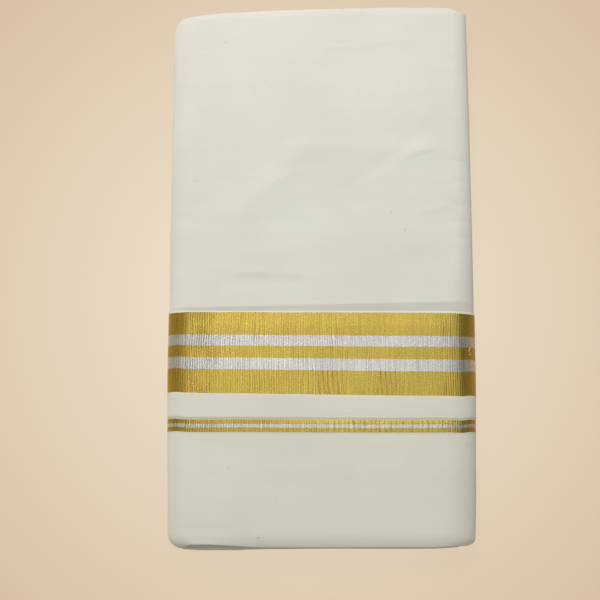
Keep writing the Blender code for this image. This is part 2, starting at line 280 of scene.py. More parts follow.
def foldRise(x, y):
    total = 0.0
    for fromX, fromY, toX, toY, width, rise in softFolds:
        runX, runY = toX - fromX, toY - fromY
        along = clampTo(((x - fromX) * runX + (y - fromY) * runY) / (runX**2 + runY**2))
        away = math.hypot(x - fromX - along * runX, y - fromY - along * runY)
        total += rise * math.exp(-((away / width) ** 2) * 2)
    return total


def creaseRise(x, y, creases):
    # Each crease fades at both its ends, and may be steeper on one side than on the other.
    total = 0.0
    for fromX, fromY, toX, toY, bow, above, below, rise in creases:
        runX, runY = toX - fromX, toY - fromY
        length = math.hypot(runX, runY)
        along = ((x - fromX) * runX + (y - fromY) * runY) / length**2
        if not 0 < along < 1:
            continue
        away = ((y - fromY) * runX - (x - fromX) * runY) / length - bow * 4 * along * (1 - along)
        width = above if away > 0 else below
        if abs(away) < 3 * width:
            fade = 1 - (2 * along - 1) ** 4
            total += rise * fade * math.exp(-((away / width) ** 2))
    return total


def wedgeDip(x, y):
    share = clampTo((x + wedge["halfWidth"]) / (2 * wedge["halfWidth"]))
    width = wedge["left"] + share * (wedge["right"] - wedge["left"])
    width += wedge["bow"] * 4 * share * (1 - share)
    above = y - pack["selvedge"]
    run = above / width if above > 0 else -above / wedge["back"]
    ridge = wedge["lip"] * math.exp(-(((above - width) / wedge["lipWidth"]) ** 2))
    return ridge - wedge["slope"] * width * max(0.0, 1 - run)


def plainTop(x, y):
    # The height of the front without its finer creases.
    return planValue(y, thickness) + pack["sheetGap"] + foldRise(x, y)


def frontTop(x, y):
    wide, fine = wander["wideScale"], wander["fineScale"]
    drift = wander["wide"] * noise.noise((x * wide, y * wide, 1.7))
    drift += wander["fine"] * noise.noise((x * fine, y * fine, 9.2))
    return plainTop(x, y) + wedgeDip(x, y) + creaseRise(x, y, frontCreases) + drift


def underLift(x, y):
    scale = wander["underScale"]
    drift = wander["wide"] * max(0.0, noise.noise((x * scale, y * scale, 31.0)))
    return creaseRise(x, y, underCreases) + drift


def quarterTurn(angle, power):
    # (run, rise) from a fold's outermost line, at 0, to where it meets the flat, at 90 degrees.
    run = 1 - max(math.cos(angle), 0.0) ** (2 / power)
    return run, max(math.sin(angle), 0.0) ** (2 / power)


def lipWave(y):
    return wander["lip"] * noise.noise((y * wander["lipScale"], 2.0, 6.0))


def lipLevel(y):
    # The underside of the big left fold's lip.
    return midSeam(y) + pack["sheetGap"] + pack["gap"] + lipWave(y)


def lipEnd(y, inward):
    # Near the ends a lip draws back the further in it lies, so its inner corner stays hidden.
    near = smoothShare(1 - (endAt(y) - abs(y)) / ends["lipReach"])
    return y - math.copysign(ends["lipShort"] * inward**1.5 * near, y)


def wrapPoint(zone, share, row):
    # One point of the skin that goes round the whole pack, from the lip of the big left fold
    # over the front, round the right, along the underside and round the small left fold.
    yTop, sink, ySide, depth = row
    quarter = math.pi / 2
    lip = lipLevel(ySide)
    nose = lip + rolls["nose"]["rise"]
    bottom = floorOf(ySide) + depth
    smallLip = levelAt(ySide, pack["smallFoldShare"]) - depth
    if zone == "lip":
        left = edgeAt(-1, ySide, depth)
        inner = edgeAt(-1, ySide, 0) + pack["lipDepth"]
        outer = left + rolls["nose"]["run"] - depth
        return settled(inner + (outer - inner) * share, lipEnd(ySide, 1 - share), lip + depth)
    if zone == "nose":
        run, rise = quarterTurn(quarter * (1 - share), 2)
        x = edgeAt(-1, ySide, depth) + run * (rolls["nose"]["run"] - depth)
        return settled(x, ySide, nose - rise * (nose - lip - depth))
    if zone in ("leftRoll", "rightRoll"):
        side, base, power = -1, nose, rolls["left"]["power"]
        if zone == "rightRoll":
            side, base, power, share = 1, rightSeam(ySide), rightFold(ySide)[1], 1 - share
        run, rise = quarterTurn(quarter * share, power)
        y = ySide + (yTop - ySide) * rise
        x = edgeAt(side, y, depth) - side * run * rollReach(side, y, depth)
        return settled(x, y, base + rise * (frontTop(x, y) - sink - base))
    if zone == "top":
        first = edgeAt(-1, yTop, depth) + rollReach(-1, yTop, depth)
        last = edgeAt(1, yTop, depth) - rollReach(1, yTop, depth)
        x = first + (last - first) * share
        return settled(x, yTop, frontTop(x, yTop) - sink)
    right = edgeAt(1, ySide, depth)
    left = edgeAt(-1, ySide, depth)
    smallRun = max(rolls["smallNose"]["run"] - depth, pack["leastRun"])
    if zone == "underRoll":
        seam = rightSeam(ySide)
        run, rise = quarterTurn(quarter * share, rolls["under"]["power"])
        x = right - run * (rolls["under"]["run"] - depth)
        lift = underLift(x, ySide) * rise
        return settled(x, ySide, seam - rise * (seam - bottom) + lift)
    if zone == "floor":
        first = right - rolls["under"]["run"] + depth
        x = first + (left + smallRun - first) * share
        lift = underLift(x, ySide) * min(1.0, pack["liftEase"] * (1 - share))
        return settled(x, ySide, bottom + lift)
    if zone == "smallNose":
        half = (smallLip - bottom) / 2
        angle = quarter * (1 - 2 * share)
        run, rise = quarterTurn(abs(angle), 2)
        return settled(left + run * smallRun, ySide, bottom + half - math.copysign(rise, angle) * half)
    outer = left + smallRun
    inner = edgeAt(-1, ySide, 0) + pack["lipDepth"]
    return settled(outer + (inner - outer) * share, lipEnd(ySide, share), smallLip)


def walkRound(counts):
    # The columns of a skin: every zone's steps in turn, without the doubled first ones.
    walk = [(next(iter(counts)), 0.0)]
    for zone, count in counts.items():
        walk += [(zone, (i + 1) / count) for i in range(count)]
    return walk


def spread(start, finish, step):
    # Even places from start to finish, about a step apart.
    count = max(1, round(abs(finish - start) / step))
    return [start + (finish - start) * i / count for i in range(count + 1)]


def flatRow(y, lift):
    # A row of a skin, as every row here: y and sink of its flat, then y and depth of its sides.
    return (y, -lift, y, -lift)


def curlSink(end, y, lift=0.0):
    # How far the front has sunk towards a fold at the pack's end.
    share = clampTo((end * y - endAt(end) - lift + pack["endRun"][end]) / pack["endRun"][end])
    return pack["endDrop"][end] * share ** pack["endPower"]


def endRows(end, lift, turn):
    # Over an end: the skin's curl, then its turn under, then a short way back inside.
    limit = endAt(end) + lift - turn["short"]
    run, drop, power = pack["endRun"][end], pack["endDrop"][end], pack["endPower"]
    tip, bead = math.atan(drop * power / run), turn["bead"]
    start = endAt(end) + lift - run
    topReach = limit - bead * (1 - math.sin(tip)) - start
    sideReach = limit - bead - start
    rows = []
    for i in range(turn["curlSteps"] + 1):
        share = i / turn["curlSteps"]
        y = start + topReach * share
        sink = curlSink(end, end * y, lift)
        rows.append((end * y, sink - lift, end * (start + sideReach * share), -lift))
    yEnd, sinkEnd = start + topReach, rows[-1][1]
    for i in range(1, turn["turnSteps"] + 1):
        angle = math.pi * i / turn["turnSteps"]
        y = yEnd + bead * (math.sin(tip + angle) - math.sin(tip))
        sink = sinkEnd + bead * (math.cos(tip) - math.cos(tip + angle))
        ySide = start + sideReach + bead * math.sin(angle)
        rows.append((end * y, sink, end * ySide, bead * (1 - math.cos(angle)) - lift))
    for i in range(1, turn["backSteps"] + 1):
        back = turn["back"] * i / turn["backSteps"]
        y = yEnd - 2 * bead * math.sin(tip) - back * math.cos(tip)
        sink = sinkEnd + 2 * bead * math.cos(tip) - back * math.sin(tip)
        rows.append((end * y, sink, end * (start + sideReach - back), 2 * bead - lift))
    return rows


def makeGrid(columnCount, rowCount, place, clothPlace):
    # A grid whose points are then moved to where the cloth lies. clothPlace gives each
    # corner of a face its place on the flat cloth, in metres.
    bm = bmesh.new()
    bmesh.ops.create_grid(bm, x_segments=columnCount - 1, y_segments=rowCount - 1, size=0.5)
    bm.verts.ensure_lookup_table()
    bm.verts.index_update()
    for vert in bm.verts:
        vert.co = place(vert.index % columnCount, vert.index // columnCount)
    clothMap = bm.loops.layers.uv.new("cloth")
    for face in bm.faces:
        middle = face.calc_center_median()
        for loop in face.loops:
            column, row = loop.vert.index % columnCount, loop.vert.index // columnCount
            loop[clothMap].uv = clothPlace(column, row, middle)
    return bm


def closeUp(bm):
    bmesh.ops.holes_fill(bm, edges=[edge for edge in bm.edges if edge.is_boundary], sides=0)
    bmesh.ops.recalc_face_normals(bm, faces=bm.faces)


def addObject(name, data):
    thing = bpy.data.objects.new(name, data)
    scene.collection.objects.link(thing)
    return thing


def finishPiece(name, bm, material, sheetThickness=None):
    mesh = bpy.data.meshes.new(name)
    bm.to_mesh(mesh)
    bm.free()
    mesh.shade_smooth()
    mesh.materials.append(material)
    piece = addObject(name, mesh)
    if sheetThickness:
        solidify = piece.modifiers.new("clothThickness", "SOLIDIFY")
        solidify.thickness = sheetThickness
        solidify.offset = -1
        solidify.use_rim = True
    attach(piece, "root")
    return piece


def roundLengths(walk, lift):
    # How far round the cloth each column lies, with 0 in the middle of the front.
    row = flatRow(pack["measureAt"], lift)
    points = [wrapPoint(zone, share, row) for zone, share in walk]
    firstTop = next(i for i, (zone, share) in enumerate(walk) if zone == "top")
    lengths = [0.0] * len(walk)
    lengths[firstTop] = points[firstTop].x
    for i in range(firstTop + 1, len(walk)):
        lengths[i] = lengths[i - 1] + (points[i] - points[i - 1]).length
    for i in range(firstTop - 1, -1, -1):
        lengths[i] = lengths[i + 1] - (points[i] - points[i + 1]).length
    return lengths


def rowLengths(rows, start=0.0):
    # How far along the cloth each row lies.
    steps = (math.dist(first[:2], second[:2]) for first, second in zip(rows, rows[1:]))
    return list(accumulate(steps, initial=start))


# What the cloth and the border's metal thread look like.
clothFinish = {
    # Each dull colour is the darker end of the cotton's random mottling, and also the base of the
    # border's painted shade lines.
    "cotton": {
        "colour": (0.620, 0.611, 0.546), "dullAndShade": (0.592, 0.580, 0.512), "roughness": 0.86,
        "weave": 0.12, "sheen": 0.10,
    },
    # The flap is the same cloth as the front: its cotton is painted a touch darker here, as shade over
    # the lower part of the pack, and is a little yellower.
    "borderCotton": {
        "colour": (0.616, 0.606, 0.526), "dullAndShade": (0.588, 0.575, 0.493), "roughness": 0.86,
        "weave": 0.12, "sheen": 0.10,
    },
    "innerCotton": {
        "colour": (0.580, 0.568, 0.500), "dullAndShade": (0.545, 0.534, 0.466), "roughness": 0.90,
        "weave": 0.16, "sheen": 0.08,
    },
    "zari": {
        "gold": (0.490, 0.360, 0.075), "goldGreen": (0.462, 0.379, 0.071),
        "goldDark": (0.175, 0.100, 0.009), "silver": (0.526, 0.512, 0.490),
        # The two fold tints are painted light over the side folds: the gold darker and browner, the
        # silver lighter.
        "silverDark": (0.200, 0.187, 0.172), "goldRoll": (1.00, 0.87, 0.57),
        "silverRoll": (1.18, 1.12, 1.00), "metallic": 0.84, "roughness": 0.47,
        "anisotropic": 0.50, "rib": 0.00189, "goldGlint": (0.80, 0.68, 0.36),
        "silverGlint": (0.80, 0.78, 0.77),
    },
    "thread": 0.00036,        # from one thread of the weave to the next
}
# Where the border's bands begin, in metres from the woven edge, and what each is.
borderBands = (
    (0.0000, "edge"), (0.0019, "gold"), (0.0202, "silver"), (0.0287, "gold"), (0.0384, "silver"),
    (0.0480, "gold"), (0.0671, "edge"), (0.0683, "plain"), (0.0868, "gold"), (0.0904, "silver"),
    (0.0930, "gold"), (0.0967, "plain"),
)
borderSpan = 0.1
# Painted shade on the cotton: a line just above the narrow band, and a fainter one a little below it.
paintedShadeLines = ((0.0846, 0.0869, 0.0012, 0.0001, 1.0), (0.0966, 0.0990, 0.0001, 0.0020, 0.45))
bandMask = {"plain": (0, 0, 0, 1), "gold": (1, 0, 0, 1), "silver": (0, 1, 0, 1), "edge": (0, 0, 1, 1)}


def addNode(tree, kind, **settings):
    node = tree.nodes.new(kind)
    for key, value in settings.items():
        setattr(node, key, value)
    return node


def feed(socket, value):
    # A number or a colour is set on the socket, and what comes out of a node is linked to it.
    if isinstance(value, Value):
        value.tree.links.new(value.socket, socket)
    elif socket.type == "RGBA" and len(value) == 3:
        socket.default_value = (*value, 1.0)
    else:
        socket.default_value = value


def feedAll(node, values):
    for label, value in values.items():
        feed(node.inputs[label], value)


class Value:
    # What comes out of a node. Each sum, product or the like of two of them is a Math node.
    def __init__(self, tree, socket):
        self.tree, self.socket = tree, socket

    def calc(self, operation, other=0.0, clamp=False):
        node = addNode(self.tree, "ShaderNodeMath", operation=operation, use_clamp=clamp)
        feed(node.inputs[0], self)
        feed(node.inputs[1], other)
        return Value(self.tree, node.outputs[0])

    def __add__(self, other):
        return self.calc("ADD", other)

    def __sub__(self, other):
        return self.calc("SUBTRACT", other)

    def __mul__(self, other):
        return self.calc("MULTIPLY", other)

    def __truediv__(self, other):
        return self.calc("DIVIDE", other)

    def highest(self, other):
        return self.calc("MAXIMUM", other)

    def wave(self, kind):
        # A sine or cosine, with one turn for each whole number.
        return (self * (2 * math.pi)).calc(kind)

    def remap(self, low, high, toLow=0.0, toHigh=1.0):
        node = addNode(self.tree, "ShaderNodeMapRange", clamp=True)
        for socket, value in zip(node.inputs, (self, low, high, toLow, toHigh)):
            feed(socket, value)
        return Value(self.tree, node.outputs[0])

    def span(self, start, finish, easeIn, easeOut):
        # 1 between start and finish, easing to 0 within them.
        return self.remap(start, start + easeIn) * self.remap(finish, finish - easeOut)

    def noise(self, scales, detail=2.0, roughness=0.5, seed=0.0):
        # Noise on the flat cloth, with its own scale along and across.
        mapping = addNode(self.tree, "ShaderNodeMapping")
        feedAll(mapping, {"Vector": self, "Scale": (*scales, 1.0),
                          "Location": (seed, seed * 0.7, seed * 1.3)})
        texture = addNode(self.tree, "ShaderNodeTexNoise", noise_dimensions="2D")
        feedAll(texture, {"Vector": Value(self.tree, mapping.outputs[0]), "Scale": 1.0,
                          "Detail": detail, "Roughness": roughness})
        return Value(self.tree, texture.outputs[0])

    def parts(self):
        node = addNode(self.tree, "ShaderNodeSeparateXYZ")
        feed(node.inputs[0], self)
        return [Value(self.tree, socket) for socket in node.outputs]


def blendColour(tree, factor, first, second, kind="MIX"):
    node = addNode(tree, "ShaderNodeMix", data_type="RGBA", blend_type=kind)
    for i, value in ((0, factor), (6, first), (7, second)):
        feed(node.inputs[i], value)
    return Value(tree, node.outputs[2])


def newGroup(name, number=None, default=0.0):
    # A node group that reads the flat cloth and, where it has one, a number with a name.
    group = bpy.data.node_groups.new(name, "ShaderNodeTree")
    group.interface.new_socket("Cloth", in_out="INPUT", socket_type="NodeSocketVector")
    if number:
        socket = group.interface.new_socket(number, in_out="INPUT", socket_type="NodeSocketFloat")
        socket.default_value = default
    given = group.nodes.new("NodeGroupInput").outputs
    return group, Value(group, given[0]), Value(group, given[1]) if number else None


def putOut(group, results):
    for label in results:
        group.interface.new_socket(label, in_out="OUTPUT", socket_type="NodeSocketFloat")
    feedAll(group.nodes.new("NodeGroupOutput"), results)
    return group


def makeWeaveGroup():
    # Plain weave: threads over and under in both directions, each a little uneven.
    group, cloth, thread = newGroup("plainWeave", "Thread", 0.0004)
    wobble = cloth.noise((160, 160))
    waves = [((place / thread + wobble * 0.8) * math.pi).calc("SINE") for place in cloth.parts()[:2]]
    warp = cloth.noise((60, 2600), detail=1.0, seed=3.0)
    weft = cloth.noise((2600, 60), detail=1.0, seed=8.0)
    return putOut(group, {"Height": waves[0] * waves[1] * 0.5 + (warp + weft)})


def makeStreakGroup():
    # Thicker threads, faint bars and soft mottling, as handloom cotton has.
    group, cloth = newGroup("clothStreaks")[:2]
    along = cloth.noise((14, 620), seed=1.0)
    across = cloth.noise((620, 16), seed=5.0)
    bars = cloth.noise((4, 90), seed=11.0)
    cloud = cloth.noise((13, 13), detail=3.0, seed=17.0)
    tone = along * 0.14 + across * 0.07 + bars * 0.19 + cloud * 0.60
    slub = cloth.noise((110, 1500), detail=1.0, seed=23.0)
    return putOut(group, {"Tone": tone.remap(0.38, 0.62), "Slub": slub.remap(0.72, 0.80)})


def makeBandGroup():
    # Which band of the border a point lies in, with a slightly toothed edge.
    group, cloth = newGroup("borderBands")[:2]
    tooth = cloth.noise((900, 160), seed=2.0)
    drift = cloth.noise((26, 5), detail=1.0, seed=4.0)
    shift = cloth.parts()[1] + (tooth - 0.5) * 0.00075 + (drift - 0.5) * 0.0007
    ramp = addNode(group, "ShaderNodeValToRGB")
    ramp.color_ramp.interpolation = "CONSTANT"
    feed(ramp.inputs[0], shift / borderSpan)
    stops = ramp.color_ramp.elements
    stops.remove(stops[1])
    stops[0].position = 0.0
    stops[0].color = bandMask["edge"]
    for start, kind in borderBands[1:]:
        stops.new(start / borderSpan).color = bandMask[kind]
    masks = addNode(group, "ShaderNodeSeparateColor")
    group.links.new(ramp.outputs["Color"], masks.inputs[0])
    onFlap = shift.calc("GREATER_THAN", -0.0006)
    results = {name: Value(group, socket) * onFlap
               for name, socket in zip(("Gold", "Silver", "Edge"), masks.outputs)}
    # Painted shade along two lines beside the narrow band.
    dullAndShade = [shift.span(*line[:4]) * line[4] for line in paintedShadeLines]
    results["Dull"] = dullAndShade[0].highest(dullAndShade[1])
    return putOut(group, results)


# Where the border is crinkled and creased, along the cloth: from, to, ease at each end.
crinkled = ((-0.1078, -0.0800, 0.0012, 0.0090), (0.0900, 0.1130, 0.0080, 0.0012))
creased = ((-0.0035, 0.0190, 0.0020, 0.0025), (0.0425, 0.0610, 0.0025, 0.0025))
creasePitch, creaseStart, creaseLean = 0.00378, -0.00165, 0.08
# The narrow band's gaps, painted dark as shade, at the left and at the right: pitch, least wave,
# strength.
narrowGaps = ((0.00205, 0.45, 0.62), (0.0041, 0.30, 1.0))


def makeZariGroup():
    # Metal thread: uneven ribs across the bands, painted glints, crinkles and creases from folding, and
    # painted light and shade over the folds.
    group, cloth, ribPitch = newGroup("zariRibs", "Rib", 0.0019)
    across, down = cloth.parts()[:2]
    # The stiff border crinkles beside both side folds; there the grooves between its ribs are painted
    # dark as shade.
    near = across.span(*crinkled[0]).highest(across.span(*crinkled[1]))
    # Regular ribs, every second one stronger, leaning and swelling a little.
    lean = cloth.noise((14, 26), seed=6.5)
    jitter = cloth.noise((330, 60), seed=4.5)
    turns = across / ribPitch + lean * 2.2 + jitter * 0.6
    pair = (turns * math.pi).calc("SINE")
    rib = turns.wave("SINE") + pair * across.remap(-0.05, 0.09, 0.15, 0.50)
    swell = cloth.noise((60, 50), detail=3.0, seed=15.0).remap(0.32, 0.68, 0.25, 1.0)
    share = across.remap(-0.03, 0.05, 0.25, 0.10) * down.remap(0.016, 0.022, 0.65, 1.0)
    groove = turns.wave("COSINE").remap(0.05, 0.95)
    crest = groove * -1.0 + 1.15
    uneven = cloth.noise((700, 36), detail=3.0, roughness=0.62, seed=1.5)
    fine = cloth.noise((1700, 700), seed=9.5)
    tone = rib * (share * swell) + 0.57 + near * (groove * swell * -0.62 - 0.02)
    # Painted light that evens out the lamp's shine: the metal is painted darker to the left and near
    # the woven edge, and lighter to the right and further from it.
    tone += across.remap(-0.11, 0.10, -0.05, 0.13) + down.remap(0.010, 0.058, -0.075, 0.015)
    # Painted light over the side folds: the metal is painted lighter over the left fold and brighter
    # still at the far left rim, and darker over the right fold.
    leftRoll, rightRoll = across.remap(-0.1066, -0.1082), across.remap(0.1100, 0.1114)
    tone += leftRoll * 0.14 - rightRoll * 0.14 + across.remap(-0.1165, -0.1250, 0.0, 0.28)
    # Painted highlight: beside the right fold the crests of the crinkled metal are painted brighter,
    # and so is the left rim.
    bright = across.span(0.0975, 0.1102, 0.0060, 0.0022)
    paintedShine = bright * crest
    tone += paintedShine * 0.55 - bright * 0.38
    tone += (uneven - 0.5) * 0.55 + (fine - 0.5) * 0.6
    hue = cloth.noise((34, 60), seed=13.0)
    glint = cloth.noise((1100, 1100), detail=1.0, seed=21.0)
    # Two runs of fine slanting creases, deepest in the lowest wide gold band; they are bumped and also
    # painted dark as shade.
    place = across - (down - borderBands[5][0]) * creaseLean
    place = (place - creaseStart) / creasePitch + jitter * 0.5
    run = across.span(*creased[0]).highest(across.span(*creased[1]))
    depth = down.span(0.0475, 0.0675, 0.002, 0.0005).highest(down.remap(0.030, 0.047) * 0.35)
    crease = place.wave("COSINE").remap(0.45, 0.95) * run * depth
    crease *= swell.remap(0.25, 0.7, 0.4, 0.8)
    leftGap, rightGap = [(across / pitch + jitter * 1.3).wave("COSINE").remap(low, 0.95, 0.0, strong)
                         for pitch, low, strong in narrowGaps]
    gap = leftGap + (rightGap - leftGap) * across.remap(-0.006, 0.012)
    gap *= uneven.remap(0.36, 0.56, 0.25, 1.0) * down.calc("GREATER_THAN", 0.08)
    crease = crease.highest(gap)
    return putOut(group, {
        "Tone": tone.calc("ADD", clamp=True), "Hue": hue.remap(0.40, 0.62),
        "Glint": glint.remap(0.64, 0.73), "Height": tone - crease * 0.9, "CreaseShade": crease,
        "Roll": leftRoll.highest(rightRoll),
        "PaintedShine": (paintedShine * 0.78).highest(across.remap(-0.1150, -0.1225, 0.0, 0.8)),
    })


weaveGroup, streakGroup = makeWeaveGroup(), makeStreakGroup()
bandGroup, zariGroup = makeBandGroup(), makeZariGroup()


def placeGroup(group, cloth, numbers={}):
    node = addNode(cloth.tree, "ShaderNodeGroup", node_tree=group)
    feedAll(node, {"Cloth": cloth, **numbers})
    return {socket.name: Value(cloth.tree, socket) for socket in node.outputs}


def newMaterial(name):
    material = bpy.data.materials.new(name)
    material.use_nodes = True
    return material, material.node_tree, material.node_tree.nodes["Principled BSDF"]


def addBump(tree, shader, height, strength, distance):
    bump = addNode(tree, "ShaderNodeBump")
    feedAll(bump, {"Height": height, "Strength": strength, "Distance": distance})
    tree.links.new(bump.outputs[0], shader.inputs["Normal"])


def shade(colour, shares):
    return tuple(c * share for c, share in zip(colour, shares))


def makeClothMaterial(name, cotton, zari=None):
    # Cotton in plain weave, and with zari, the border's metal bands woven into it.
    material, tree, shader = newMaterial(name)
    cloth = Value(tree, addNode(tree, "ShaderNodeUVMap", uv_map="cloth").outputs[0])
    weave = placeGroup(weaveGroup, cloth, {"Thread": clothFinish["thread"]})["Height"]
    streaks = placeGroup(streakGroup, cloth)
    colour = blendColour(tree, streaks["Tone"], cotton["dullAndShade"], cotton["colour"])
    colour = blendColour(tree, streaks["Slub"] * 0.5, colour, shade(cotton["colour"], (1.12,) * 3))
    height = weave * cotton["weave"] + streaks["Slub"] * 0.2
    roughness = streaks["Tone"] * -0.06 + cotton["roughness"]
    feedAll(shader, {"Sheen Weight": cotton["sheen"], "Specular IOR Level": 0.3})
    if zari:
        bands = placeGroup(bandGroup, cloth)
        ribs = placeGroup(zariGroup, cloth, {"Rib": zari["rib"]})
        tone = ribs["Tone"]
        colour = blendColour(tree, bands["Edge"], colour, shade(cotton["colour"], (1.08, 1.045, 0.94)))
        # Painted shade in the lines beside the narrow band.
        colour = blendColour(tree, bands["Dull"], colour, shade(cotton["dullAndShade"], (0.72, 0.74, 0.66)))
        bare = {
            "gold": (tone, blendColour(tree, ribs["Hue"], zari["gold"], zari["goldGreen"])),
            "silver": ((tone * 1.6).calc("ADD", -0.34, clamp=True), zari["silver"]),
        }
        for kind, glint, paintedShine, gain in (("gold", 0.36, 0.5, 1.7), ("silver", 0.6, 0.4, 1.5)):
            metal = blendColour(tree, bare[kind][0], zari[kind + "Dark"], bare[kind][1])
            # Painted shade in the creases and in the narrow band's gaps.
            metal = blendColour(tree, ribs["CreaseShade"] * 0.55, metal, zari[kind + "Dark"])
            metal = blendColour(tree, ribs["Glint"] * glint, metal, zari[kind + "Glint"])
            # Painted highlight: the crests beside the right fold and the left rim are painted brighter,
            # up to gain times the metal's colour.
            metal = blendColour(tree, ribs["PaintedShine"] * paintedShine, metal, shade(zari[kind], (gain,) * 3))
            # Over the side folds the metal is tinted by painted light: the gold darker and browner, the
            # silver lighter.
            metal = blendColour(tree, ribs["Roll"], metal, zari[kind + "Roll"], "MULTIPLY")
            colour = blendColour(tree, bands[kind.title()], colour, metal)
        metal = bands["Gold"].calc("ADD", bands["Silver"], clamp=True)
        polished = tone * -0.10 + (zari["roughness"] + 0.05)
        roughness += metal * (polished - roughness)
        height += metal * (ribs["Height"] * 1.4 - height)
        # The metal threads run along the bands, so their shine spreads across them.
        tangent = addNode(tree, "ShaderNodeTangent", direction_type="UV_MAP", uv_map="cloth")
        feedAll(shader, {
            "Metallic": metal * zari["metallic"], "Anisotropic": zari["anisotropic"],
            "Anisotropic Rotation": 0.25, "Specular Tint": (1.0, 0.86, 0.58),
            "Tangent": Value(tree, tangent.outputs[0]),
        })
    feedAll(shader, {"Base Color": colour, "Roughness": roughness})
    addBump(tree, shader, height, 0.5, 0.00012)
    return material


plainCotton = makeClothMaterial("plainCotton", clothFinish["cotton"])
borderedCotton = makeClothMaterial("borderedCotton", clothFinish["borderCotton"], clothFinish["zari"])
innerCotton = makeClothMaterial("innerCotton", clothFinish["innerCotton"], clothFinish["zari"])
print("finishes ready")


# The plain cloth round the whole pack.
outerCloth = {
    "thickness": 0.00055,
    "columns": {"lip": 4, "nose": 7, "leftRoll": 16, "top": 112, "rightRoll": 14, "underRoll": 12,
                "floor": 22, "smallNose": 8, "smallLip": 4},
    "step": 0.0016, "hiddenStep": 0.0080, "nearStep": 0.0030, "edgeStep": 0.0008, "edgeZone": 0.0120,
    "topTurn": {"short": 0.0, "curlSteps": 8, "bead": 0.00060, "turnSteps": 9, "back": 0.0035,
                "backSteps": 3},
    "bottomTurn": {"short": 0.0022, "curlSteps": 6, "bead": 0.0004, "turnSteps": 0, "back": 0.0,
                   "backSteps": 0},
    "clothTop": 0.623,        # how far the top fold lies from the woven edge, on the flat cloth
}


def makeOuterCloth():
    settings = outerCloth
    walk = walkRound(settings["columns"])
    low = pack["bottom"] + pack["endRun"][-1]
    high = pack["top"] - pack["endRun"][1]
    edge, zone = pack["selvedge"], settings["edgeZone"]
    levels = spread(low, edge - zone, settings["hiddenStep"])
    levels += spread(edge - zone, edge, settings["nearStep"])[1:]
    levels += spread(edge, edge + zone, settings["edgeStep"])[1:]
    levels += spread(edge + zone, high, settings["step"])[1:]
    rows = endRows(-1, 0.0, settings["bottomTurn"])[::-1]
    rows += [flatRow(y, 0.0) for y in levels[1:-1]]
    rows += endRows(1, 0.0, settings["topTurn"])
    lengths = roundLengths(walk, 0.0)

    def place(column, row):
        zone, share = walk[column]
        return wrapPoint(zone, share, rows[row])

    down = rowLengths(rows)
    start = settings["clothTop"] + (pack["top"] - pack["bottom"])

    def clothPlace(column, row, middle):
        return lengths[column], start - down[row]

    cloth = makeGrid(len(walk), len(rows), place, clothPlace)
    piece = finishPiece("outerCloth", cloth, plainCotton, settings["thickness"])
    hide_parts("front_panel", "back_panel")


makeOuterCloth()
print("plain cloth done")


# The bordered flap, on the front and the underside.
flapCloth = {
    "thickness": 0.00065,
    "lift": 0.0015,
    "columns": {"lip": 4, "nose": 7, "leftRoll": 18, "top": 140, "rightRoll": 16, "underRoll": 12,
                "floor": 30, "smallNose": 8, "smallLip": 4},
    "edgeRows": (0.0006, 0.0008, 0.0011, 0.0015, 0.0021),
    "borderStep": 0.0014, "borderReach": 0.100, "step": 0.0022,
    "close": 0.0003, "closeReach": 0.020,        # how far it lies nearer at its edge
    "drawnBack": 0.0021, "drawnFlat": 0.8, "drawnFrom": -0.042, "drawnEase": 0.050, "drawnReach": 0.009,
    "clear": {-1: 0.012, 1: 0.011}, "clearEase": 0.012,     # no nearer this far in from its sides
    "sideClose": 0.0008, "sideReach": 0.065, "sideFrom": 0.090, "sideEase": 0.025,
    "dipShare": 0.30, "edgeDroop": 0.00030, "edgeRound": 0.0009,
    "edgeWave": 0.00022, "edgeWaveScale": 22.0, "edgeWaveReach": 0.03,
    "turn": {"short": 0.0, "curlSteps": 9, "bead": 0.00135, "turnSteps": 10, "back": 0.0040,
             "backSteps": 3},
}


def flapClose(x, y):
    # Near its woven edge the flap lies close on the front, except over the side folds.
    clear = flapCloth["clear"]
    along = smoothShare((pack["selvedge"] - y) / flapCloth["closeReach"])
    inside = min(x - sideAt(-1, y) - clear[-1], sideAt(1, y) - clear[1] - x)
    sink = flapCloth["close"] * (1 - along) * smoothShare(inside / flapCloth["clearEase"])
    # It hardly follows the front's dip under it, and its woven edge is rounded.
    sink += wedgeDip(x, y) * (1 - flapCloth["dipShare"])
    start = pack["selvedge"] - flapCloth["edgeRows"][0]
    edge = clampTo(1 - (start - y) / flapCloth["edgeRound"])
    return sink + flapCloth["edgeDroop"] * edge * edge


# How much further from the woven edge a band lies on the right than on the left: distance, share.
bandSkew = ((0.0, 0.0036), (0.0196, 0.0065), (0.0284, 0.0065), (0.0380, 0.0100), (0.0478, 0.0110),
            (0.0671, 0.0133), (0.0868, 0.0030), (0.2, 0.0030))
skewReach = 0.11
# How far the bands draw together over the side folds, from which line outwards.
squeeze = {"left": 0.0011, "leftFrom": -0.104, "right": 0.0015, "rightFrom": 0.109, "ease": 0.012,
           "span": 0.05}


def bandShift(x, away):
    low, high = next((a, b) for a, b in zip(bandSkew, bandSkew[1:]) if away <= b[0])
    skew = low[1] + (high[1] - low[1]) * clampTo((away - low[0]) / (high[0] - low[0]))
    side = smoothShare((squeeze["leftFrom"] - x) / squeeze["ease"]) * squeeze["left"]
    side += smoothShare((x - squeeze["rightFrom"]) / squeeze["ease"]) * squeeze["right"]
    return skew * clampTo(x, -skewReach, skewReach) - side * smoothShare(away / squeeze["span"])


